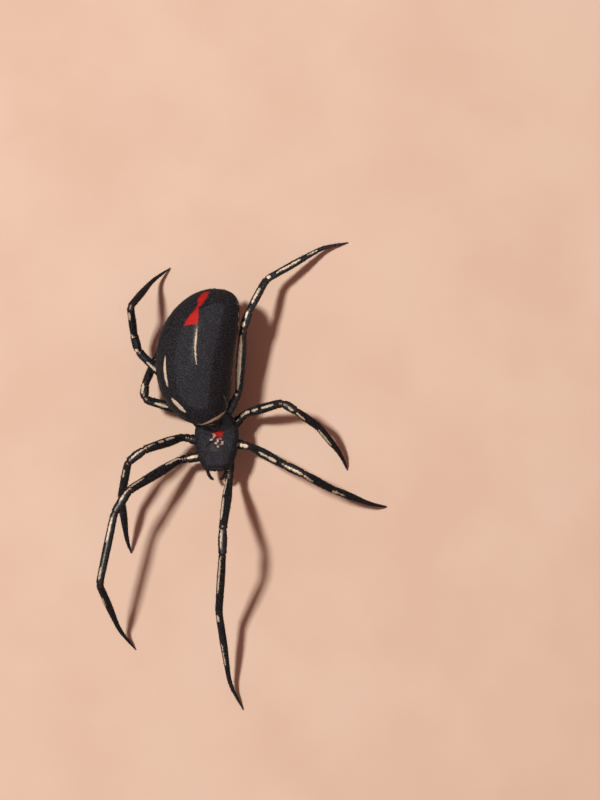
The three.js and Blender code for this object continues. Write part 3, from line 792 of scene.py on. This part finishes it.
def breastGrid():
    share, turn = ballRows(breast["rows"]), turnsOf(breast["sides"])[None]
    middle, reach = (breast["rear"] + breast["front"]) / 2, (breast["rear"] - breast["front"]) / 2
    width = breast["halfWidth"] * np.sqrt(1 - np.abs(share) ** 2.6) * (1 - 0.28 * share)
    x = width * np.cos(turn)
    low = breast["bottom"] + 0.3 * share ** 4
    z = low + breast["thick"] / 2 * (1 + np.sin(turn) * np.sqrt(1 - share ** 8))
    return np.stack([x, middle + share * reach + 0 * turn, z], -1) + prosomaPlace


def coreGrid():
    share, turn = ballRows(core["rows"]), turnsOf(core["sides"])[None]
    middle, reach = (core["rear"] + core["front"]) / 2, (core["rear"] - core["front"]) / 2
    y = middle + share * reach
    fall = (1 - np.abs(share) ** 4) ** 0.25
    wrinkle = 1 + 0.02 * np.sin(26 * y) * np.cos(turn) ** 2
    x = core["width"] * carapaceHalfWidth(y) * fall * np.cos(turn) * wrinkle
    z = core["middle"] + core["halfHeight"] * fall * np.sin(turn)
    return np.stack([x, y + 0 * turn, z], -1) + prosomaPlace


grids = [breastGrid()]
joinedGrids("breastplate", grids, carapaceMaterial,
            evenFields(grids, redMark=-1, paleLine=-1))
skinPiece("body_sides", coreGrid(), softMaterial)
print("cephalothorax made")

# Eight eyes in two rows, each a polished dome on a low rim.
eyes = (
    {"side": 0.13, "y": -1.955, "radius": 0.09, "sink": 0.24, "pitch": 5},
    {"side": 0.37, "y": -1.93, "radius": 0.085, "sink": 0.13, "pitch": 10},
    {"side": 0.14, "y": -1.68, "radius": 0.085, "sink": 0.01, "pitch": 70},
    {"side": 0.45, "y": -1.66, "radius": 0.085, "sink": 0.01, "pitch": 60},
)
rim = {"back": 0.03, "radius": 1.2}             # how far it stands behind its eye, and its size as a share


def domeGrid(place, radius, rows=16, sides=24, squash=1.0):
    lift, turn = np.linspace(-math.pi / 2, math.pi / 2, rows + 2)[1:-1, None], turnsOf(sides)[None]
    height = np.sin(lift) * squash + 0 * turn
    shape = np.stack([np.cos(lift) * np.cos(turn), np.cos(lift) * np.sin(turn), height], -1)
    return shape * radius + place


eyeGrids, rimGrids = [], []
for eye in eyes:
    for side in (-1, 1):
        pitch = math.radians(eye["pitch"])
        height = carapaceHeight(eye["side"], eye["y"]) - eye["sink"]
        place = prosomaPlace + [side * eye["side"], eye["y"], height]
        eyeGrids.append(domeGrid(place, eye["radius"]))
        behind = np.array([0, math.cos(pitch), -math.sin(pitch)]) * rim["back"]
        rimGrids.append(domeGrid(place + behind, eye["radius"] * rim["radius"]))
joinedGrids("eyes", eyeGrids, eyeMaterial)
joinedGrids("eye_rims", rimGrids, mouthMaterial, evenFields(rimGrids, membrane=0))

# Jaws with their fangs, feelers, and the small plates of the mouth.
jaw = {
    "side": 0.23, "y": -1.84, "top": 3.1, "bottom": 1.72, "radius": 0.19,
    # Shares of the way down, and of the radius there.
    "shape": ((0, 0.2, 0.5, 0.85, 0.96, 1), (0.7, 0.9, 1, 0.8, 0.56, 0.2)),
}
fang = {"reach": 0.36, "inward": 0.08, "length": 0.52, "radii": ((0, 0.26, 0.52), (0.07, 0.052, 0.008))}
feeler = {
    "path": ((0.36, -1.3, 2.2), (0.61, -1.62, 2.02), (0.61, -2.05, 2.1), (0.45, -2.42, 2.06),
             (0.19, -2.62, 1.72)),
    "root": 0.13, "foot": 0.1, "tip": 0.045, "joints": (0.16, 0.42, 0.56, 0.74), "sides": 22,
    "groove": 0.06, "grooveDepth": 0.16, "collar": 0.05, "collarAt": 0.1, "footFrom": 0.8,
    "clawLength": 0.14, "clawRadius": 0.028, "clawTaper": 0.8,
}
feelerCoat = {"count": 420, "length": (0.1, 0.2), "radius": 0.007, "lift": 28}


def jawGrid(side):
    x, drop = side * jaw["side"], jaw["top"] - jaw["bottom"]
    line = smoothLine([(x, jaw["y"] + 0.06, jaw["top"]), (x, jaw["y"], jaw["top"] - 0.4 * drop),
                       (x, jaw["y"] + 0.04, jaw["bottom"])]) + prosomaPlace
    length = runAlong(line)[-1]
    stations = np.linspace(0, length, 48)
    radii = jaw["radius"] * np.interp(stations / length, *jaw["shape"])
    grid = sweepGrid(line, stations, radii[:, None], 28)
    return grid, {"membrane": np.zeros(grid.shape[:2])}


def fangGrid(side):
    x, bottom = side * jaw["side"], jaw["bottom"]
    line = smoothLine([(x, jaw["y"] + 0.04, bottom + 0.1), (x - side * 0.02, jaw["y"] + 0.12, bottom - 0.1),
                       (x - side * fang["inward"], jaw["y"] + fang["reach"], bottom - 0.06)]) + prosomaPlace
    stations = np.linspace(0, fang["length"], 24)
    return sweepGrid(line, stations, np.interp(stations, *fang["radii"])[:, None], 14)


def feelerGrid(side):
    line = smoothLine([(side * x, y, z) for x, y, z in feeler["path"]]) + prosomaPlace
    length = runAlong(line)[-1]
    stations = np.linspace(0, length - 0.1, 90)
    share = stations / length
    radii = feeler["root"] + (feeler["foot"] - feeler["root"]) * share
    late = np.maximum(0, share - feeler["footFrom"]) / (1 - feeler["footFrom"])
    radii = radii * (1 + (feeler["tip"] / feeler["foot"] - 1) * late)
    membrane = np.zeros_like(share)
    for joint in feeler["joints"]:
        away = np.abs(stations - joint * length)
        groove = smoothStep((feeler["groove"] - away) / 0.035)
        collar = feeler["collar"] * bell(away - feeler["collarAt"], 0.04)
        radii = radii * (1 - feeler["grooveDepth"] * groove + collar)
        membrane = np.maximum(membrane, groove)
    radii = radii * roundEnd(stations[-1] - stations + 0.002, 0.05)
    grid = sweepGrid(line, stations, radii[:, None], feeler["sides"])
    return grid, {"membrane": np.repeat(membrane[:, None], feeler["sides"], 1)}, line


def feelerClaw(line):
    along, length = unit(line[-1] - line[-6]), feeler["clawLength"]
    start = line[-1] - along * length
    hook = smoothLine([start, start + along * 0.09, start + along * 0.13 + np.array([0, 0.03, -0.03])], 8)
    stations = np.linspace(0, length, 10)
    radii = feeler["clawRadius"] * (1 - feeler["clawTaper"] * stations / length)
    return sweepGrid(hook, stations, radii[:, None], 10)


for sideName, side in (("left", 1), ("right", -1)):
    grid, fields = jawGrid(side)
    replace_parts(skinPiece(f"chelicera_{sideName}_base", grid, mouthMaterial, fields),
                f"chelicera_{sideName}")
    skinPiece(f"chelicera_{sideName}_fang", fangGrid(side), fangMaterial)
    grid, fields, line = feelerGrid(side)
    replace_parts(skinPiece(f"pedipalp_{sideName}_skin", grid, mouthMaterial, fields),
                f"pedipalp_{sideName}")
    coatPiece(f"pedipalp_{sideName}_bristles", grid, feelerCoat, seed=120 + side)
    skinPiece(f"pedipalp_{sideName}_claw", feelerClaw(line), fangMaterial)
mouthPlates = (
    {"place": (0, -1.42, 2.2), "radius": 0.15, "squash": 0.7},
    {"place": (-0.25, -1.5, 2.16), "radius": 0.16, "squash": 0.8},
    {"place": (0.25, -1.5, 2.16), "radius": 0.16, "squash": 0.8},
)
grids = [domeGrid(prosomaPlace + plate["place"], plate["radius"], squash=plate["squash"])
         for plate in mouthPlates]
joinedGrids("mouth_plates", grids, mouthMaterial, evenFields(grids, membrane=0))
print("mouthparts made")

# The narrow waist, and the spinning organs under the tail.
waist = {
    "path": ((0.02, 1.6, 3.0), (-0.12, 2.25, 2.92), (-0.42, 2.7, 2.95), (-0.7, 3.3, 3.4)),
    "radius": 0.27, "length": 2.2, "rings": 0.05, "ringStep": 0.16,
}
spinners = {
    "at": 0.8, "down": -1.55, "base": 0.42,
    "shape": ((0, 0.5, 0.56, 0.62, 0.85, 0.96, 1), (1, 0.96, 0.82, 0.84, 0.7, 0.42, 0.15)),
    "pairs": (
        {"side": 0.24, "along": 0.2, "radius": 0.21, "length": 0.75, "spread": 8, "pitch": -20},
        {"side": 0.2, "along": -0.12, "radius": 0.16, "length": 0.6, "spread": 14, "pitch": -48},
    ),
}
waistLine = smoothLine(waist["path"]) + prosomaPlace
stations = np.linspace(0, waist["length"], 70)
ripple = waist["rings"] * np.cos(2 * math.pi * stations / waist["ringStep"])
waistGrid = sweepGrid(waistLine, stations, (waist["radius"] * (1 + ripple))[:, None], 32)
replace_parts(skinPiece("pedicel_skin", waistGrid, softMaterial), "pedicel")


def spinnerRoot(side, along):
    y = spinners["at"] * abdomen["halfLength"] + along
    return fromAbdomen([side + abdomen["bow"] * spinners["at"] ** 2, y, spinners["down"]])


spinnerGrids = [domeGrid(spinnerRoot(0, 0), spinners["base"], 24, 36)]
for pair in spinners["pairs"]:
    for side in (-1, 1):
        heading = math.radians(90 + abdomen["turn"] - side * pair["spread"])
        pitch = math.radians(pair["pitch"])
        root = spinnerRoot(side * pair["side"], pair["along"])
        line = np.array([root, root + direction(heading, pitch) * pair["length"]])
        stations = np.linspace(0, pair["length"], 30)
        shares = np.interp(stations / pair["length"], *spinners["shape"])
        spinnerGrids.append(sweepGrid(line, stations, (pair["radius"] * shares)[:, None], 24))
spinnerSkin = joinedGrids("spinneret_skin", spinnerGrids, softMaterial)
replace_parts(spinnerSkin, "spinnerets")
print("waist and spinnerets made")

# Plain pale floor, in the warm tone behind the animal in the picture.
floorMaterial, tree = newMaterial("matt_painted_board")
noise = add(tree, "ShaderNodeTexNoise", inputs={
    "Vector": add(tree, "ShaderNodeTexCoord").outputs["Object"], "Scale": perMm(9), "Detail": 3.0})
tone = mix(tree, edge(tree, noise.outputs["Fac"], 0.3, 0.7), linear("#dfc7b4"), linear("#dac0ab"))
closeMaterial(tree, {"Base Color": tone, "Roughness": 0.9, "Specular IOR Level": 0.1})
floorMesh = bpy.data.meshes.new("floor")
halfSide = 1.5
corners = [(x * halfSide, y * halfSide, 0) for x, y in ((-1, -1), (1, -1), (1, 1), (-1, 1))]
floorMesh.from_pydata(corners, [], [(0, 1, 2, 3)])
floorMesh.materials.append(floorMaterial)
floor = bpy.data.objects.new("floor", floorMesh)
floor.location.z = -0.00001                    # just under the feet
floor.visible_glossy = False                   # or its pale mirror image greys the black cuticle
scene.collection.objects.link(floor)

# Lights. Those with watts only light and shade, and the cards, with a radiance, only show in the gloss.
# The left hind leg has a light of its own, because the abdomen stands between it and the key.
lights = {
    "key": {"elevation": 66, "azimuth": 150, "distance": 0.4, "size": (0.032, 0.032), "watts": 1.56,
            "colour": "#fffaf4"},
    "fill": {"elevation": 88, "azimuth": 90, "distance": 0.5, "size": (0.9, 0.9), "watts": 0.75,
             "colour": "#ff9384"},
    "spineStrip": {"elevation": 68, "azimuth": 112, "distance": 0.35, "size": (0.03, 0.21), "radiance": 3.5,
                   "colour": "#fff0d8"},
    "skyCard": {"elevation": 86, "azimuth": 90, "distance": 0.4, "size": (1.4, 1.4), "radiance": 0.32,
                "colour": "#f4f4ff"},
    "rearLegLight": {"elevation": 55, "azimuth": -10, "distance": 0.4, "size": (0.06, 0.06), "watts": 0.9,
                     "colour": "#fffaf4", "only": "leg_4_left"},
    "legCard": {"elevation": 64, "azimuth": 165, "distance": 0.4, "size": (0.3, 0.3), "radiance": 8,
                "colour": "#fff0d8", "only": "leg_"},
}
heart = np.array([0.0, 3.0, 2.0])
for name, light in lights.items():
    lamp = bpy.data.lights.new(name, "AREA")
    lamp.shape = "RECTANGLE"
    lamp.size, lamp.size_y = light["size"]
    area = light["size"][0] * light["size"][1]
    lamp.energy = light.get("watts", light.get("radiance", 0) * math.pi * area)
    lamp.color = linear(light["colour"])[:3]
    lampObject = bpy.data.objects.new(name, lamp)
    elevation, azimuth = math.radians(light["elevation"]), math.radians(light["azimuth"])
    lampObject.location = heart * metresPerMm + direction(azimuth, elevation) * light["distance"]
    lampObject.rotation_euler = (math.pi / 2 - elevation, 0, azimuth + math.pi / 2)
    lampObject.visible_glossy = "radiance" in light
    lampObject.visible_diffuse = "watts" in light
    scene.collection.objects.link(lampObject)
    if "only" in light:
        lit = bpy.data.collections.new(f"lit_by_{name}")
        for piece in legPieces:
            if piece.name.startswith(light["only"]):
                lit.objects.link(piece)
        lampObject.light_linking.receiver_collection = lit
world = bpy.data.worlds.new("studio")
world.use_nodes = True
world.node_tree.nodes["Background"].inputs["Color"].default_value = linear("#f6ddd0")
world.node_tree.nodes["Background"].inputs["Strength"].default_value = 0.1
scene.world = world
print("floor and lights set")
